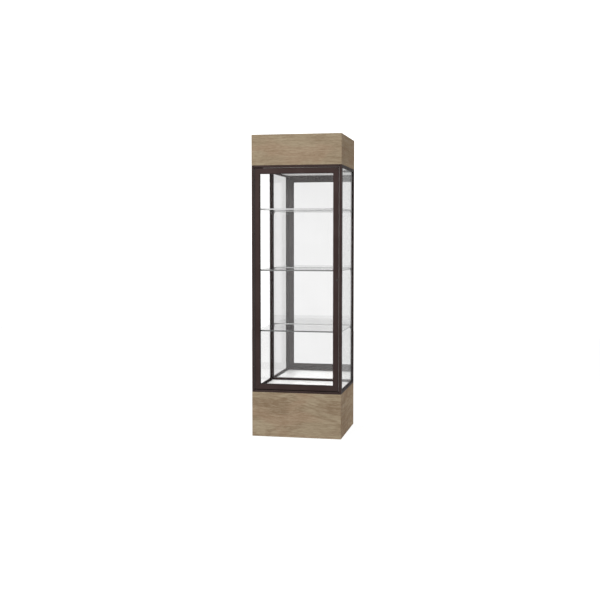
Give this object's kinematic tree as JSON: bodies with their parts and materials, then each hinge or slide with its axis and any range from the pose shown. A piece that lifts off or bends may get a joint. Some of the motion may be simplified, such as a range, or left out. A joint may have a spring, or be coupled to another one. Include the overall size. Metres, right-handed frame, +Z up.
{
  "type": "display case",
  "caption": "Tall free-standing glass display case with a lockable hinged door, mirror back, glass shelves, and laminate plinth and header.",
  "frame": {"origin": "on the floor, under the middle of the case", "axes": "+Z up; the door faces -Y; +X to the viewer's right"},
  "size_m": [0.6096, 0.5588, 2.032],
  "materials": {
    "laminate": "weathered grey-brown oak laminate, satin",
    "bronze": "dark bronze anodised, satin",
    "white": "white laminate, satin",
    "clear_glass": "clear polished",
    "mirror": "silvered glass",
    "black_board": "black painted hardboard",
    "rubber": "matte",
    "pile": "short grey pile",
    "dark_steel": "dark oxide, satin",
    "zinc": "zinc plated"
  },
  "bodies": {
    "case": {"base_front_panel": "laminate", "base_back_panel": "laminate", "base_left_panel": "laminate", "base_right_panel": "laminate", "header_front_panel": "laminate", "header_back_panel": "laminate", "header_left_panel": "laminate", "header_right_panel": "laminate", "base_top_board": "laminate", "base_bottom_board": "laminate", "header_top_board": "laminate", "front_left_post": "bronze", "front_right_post": "bronze", "rear_left_post": "bronze", "rear_right_post": "bronze", "front_bottom_rail": "bronze", "front_top_rail": "bronze", "rear_bottom_rail": "bronze", "rear_top_rail": "bronze", "left_bottom_rail": "bronze", "left_top_rail": "bronze", "right_bottom_rail": "bronze", "right_top_rail": "bronze", "floor_deck": "white", "ceiling_panel": "white", "left_side_glass": "clear_glass", "right_side_glass": "clear_glass", "shelf_1": "clear_glass", "shelf_2": "clear_glass", "shelf_3": "clear_glass", "mirror_back": "mirror", "mirror_backing_board": "black_board", "door_dust_seal": "pile", "hinge_frame_leaf": "dark_steel", "hinge_pin": "dark_steel", "shelf_1_clip_front_left": "dark_steel", "shelf_1_clip_front_right": "dark_steel", "shelf_1_clip_rear_left": "dark_steel", "shelf_1_clip_rear_right": "dark_steel", "shelf_2_clip_front_left": "dark_steel", "shelf_2_clip_front_right": "dark_steel", "shelf_2_clip_rear_left": "dark_steel", "shelf_2_clip_rear_right": "dark_steel", "shelf_3_clip_front_left": "dark_steel", "shelf_3_clip_front_right": "dark_steel", "shelf_3_clip_rear_left": "dark_steel", "shelf_3_clip_rear_right": "dark_steel"},
    "door": {"door_left_stile": "bronze", "door_right_stile": "bronze", "door_bottom_rail": "bronze", "door_top_rail": "bronze", "door_glass": "clear_glass", "door_glass_gasket": "rubber", "hinge_door_leaf": "dark_steel", "lock_barrel": "dark_steel"},
    "lock_plug": {"lock_plug": "dark_steel"},
    "levelling_foot_front_left": {"levelling_foot_front_left": "zinc"},
    "levelling_foot_front_right": {"levelling_foot_front_right": "zinc"},
    "levelling_foot_rear_left": {"levelling_foot_rear_left": "zinc"},
    "levelling_foot_rear_right": {"levelling_foot_rear_right": "zinc"}
  },
  "joints": [
    {"name": "door_swing", "type": "hinge", "parent": "case", "child": "door", "pos_m": [-0.2873, -0.2764, 1.0668], "axis": [0, 0, -1], "range_deg": [0, 145]},
    {"name": "lock_turn", "type": "hinge", "parent": "door", "child": "lock_plug", "pos_m": [0.2758, -0.2789, 1.0668], "axis": [0, -1, 0], "range_deg": [0, 90]},
    {"name": "levelling_foot_front_left_height", "type": "slide", "parent": "case", "child": "levelling_foot_front_left", "axis": [0, 0, -1], "range_m": [0, 0.02]},
    {"name": "levelling_foot_front_right_height", "type": "slide", "parent": "case", "child": "levelling_foot_front_right", "axis": [0, 0, -1], "range_m": [0, 0.02]},
    {"name": "levelling_foot_rear_left_height", "type": "slide", "parent": "case", "child": "levelling_foot_rear_left", "axis": [0, 0, -1], "range_m": [0, 0.02]},
    {"name": "levelling_foot_rear_right_height", "type": "slide", "parent": "case", "child": "levelling_foot_rear_right", "axis": [0, 0, -1], "range_m": [0, 0.02]}
  ]
}
